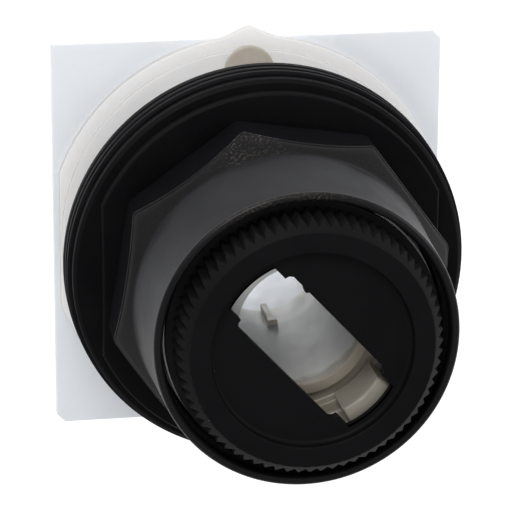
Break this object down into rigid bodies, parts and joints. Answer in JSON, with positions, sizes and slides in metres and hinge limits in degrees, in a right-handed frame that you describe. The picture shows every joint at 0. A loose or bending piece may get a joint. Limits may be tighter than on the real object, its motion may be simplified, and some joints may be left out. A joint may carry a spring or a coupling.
{
  "type": "rotary selector operator",
  "caption": "Round rotary switch operator with a square base, sealed clamping stack, octagonal ring nut and slotted serrated knob seat, for a 30.5 mm panel hole, knob removed.",
  "frame": {"origin": "centre of the panel hole, on the seating face of the boss that bears on the back of the panel", "axes": "+Z along the switch axis towards the knob and the operator in front of the panel; +Y towards the pointer and locating key at the top; +X to the right seen from the front"},
  "size_m": [0.0424, 0.0445, 0.0633],
  "materials": {
    "white_nylon": "translucent natural nylon, satin",
    "white_rotor": "translucent nylon, satin",
    "beige_nylon": "satin",
    "gasket_rubber": "matt with fine moulded ridges",
    "seal_rubber": "satin",
    "black_plastic": "flat black",
    "black_moulding": "satin moulded, grained crown",
    "black_seat": "fine matt",
    "grey_acetal": "satin",
    "red_acetal": "satin",
    "steel": "zinc plated",
    "spring_steel": "drawn wire",
    "brass": "machined"
  },
  "bodies": {
    "base": {"operator_base": "white_nylon", "locating_key": "beige_nylon", "thrust_washer": "steel", "detent_spring_upper": "spring_steel", "detent_spring_lower": "spring_steel", "rear_cover": "white_nylon", "cover_screws": "steel", "mounting_inserts": "brass", "pusher_spring_right": "spring_steel", "pusher_spring_left": "spring_steel"},
    "clamp_stack": {"gasket_rear": "gasket_rubber", "gasket_middle": "gasket_rubber", "gasket_front": "gasket_rubber", "clamp_washer": "black_plastic", "trim_washer": "black_plastic"},
    "ring_nut": {"ring_nut": "black_moulding"},
    "rotor": {"rotor_sleeve": "white_rotor", "knob_seat": "black_seat", "lamp_stop": "beige_nylon", "stop_pin": "steel", "neck_seal": "seal_rubber", "retaining_ring": "steel", "detent_wheel": "grey_acetal", "cam_ring": "grey_acetal"},
    "detent_upper": {"detent_plunger_upper": "steel"},
    "detent_lower": {"detent_plunger_lower": "steel"},
    "pusher_right": {"pusher_right": "red_acetal"},
    "pusher_left": {"pusher_left": "red_acetal"}
  },
  "joints": [
    {"name": "rotor_turn", "type": "hinge", "parent": "base", "child": "rotor", "pos_m": [0, 0, 0], "axis": [0, 0, -1], "range_deg": [0, 90]},
    {"name": "clamp_travel", "type": "slide", "parent": "base", "child": "clamp_stack", "axis": [0, 0, -1], "range_m": [0, 0.00641]},
    {"name": "ring_nut_turn", "type": "hinge", "parent": "clamp_stack", "child": "ring_nut", "pos_m": [0, 0, 0], "axis": [0, 0, -1], "range_deg": [0, 1536]},
    {"name": "pusher_right_travel", "type": "slide", "parent": "base", "child": "pusher_right", "axis": [0, 0, -1], "range_m": [0, 0.003], "deforming": ["pusher_spring_right"]},
    {"name": "pusher_left_travel", "type": "slide", "parent": "base", "child": "pusher_left", "axis": [0, 0, -1], "range_m": [-0.003, 0], "deforming": ["pusher_spring_left"]},
    {"name": "detent_upper_travel", "type": "slide", "parent": "base", "child": "detent_upper", "axis": [-0.7071, -0.7071, 0], "range_m": [0, 0.0007], "stiffness_N_per_m": 300, "springref_m": 0.003},
    {"name": "detent_lower_travel", "type": "slide", "parent": "base", "child": "detent_lower", "axis": [0.7071, 0.7071, 0], "range_m": [0, 0.0007], "stiffness_N_per_m": 300, "springref_m": 0.003}
  ],
  "couplings": [
    {"joint": "clamp_travel", "follows": "ring_nut_turn", "m_per_rad": 0.00023873},
    {"joint": "pusher_right_travel", "follows": "rotor_turn", "m_per_rad": 0.0019099},
    {"joint": "pusher_left_travel", "follows": "rotor_turn", "m_per_rad": -0.0019099}
  ]
}
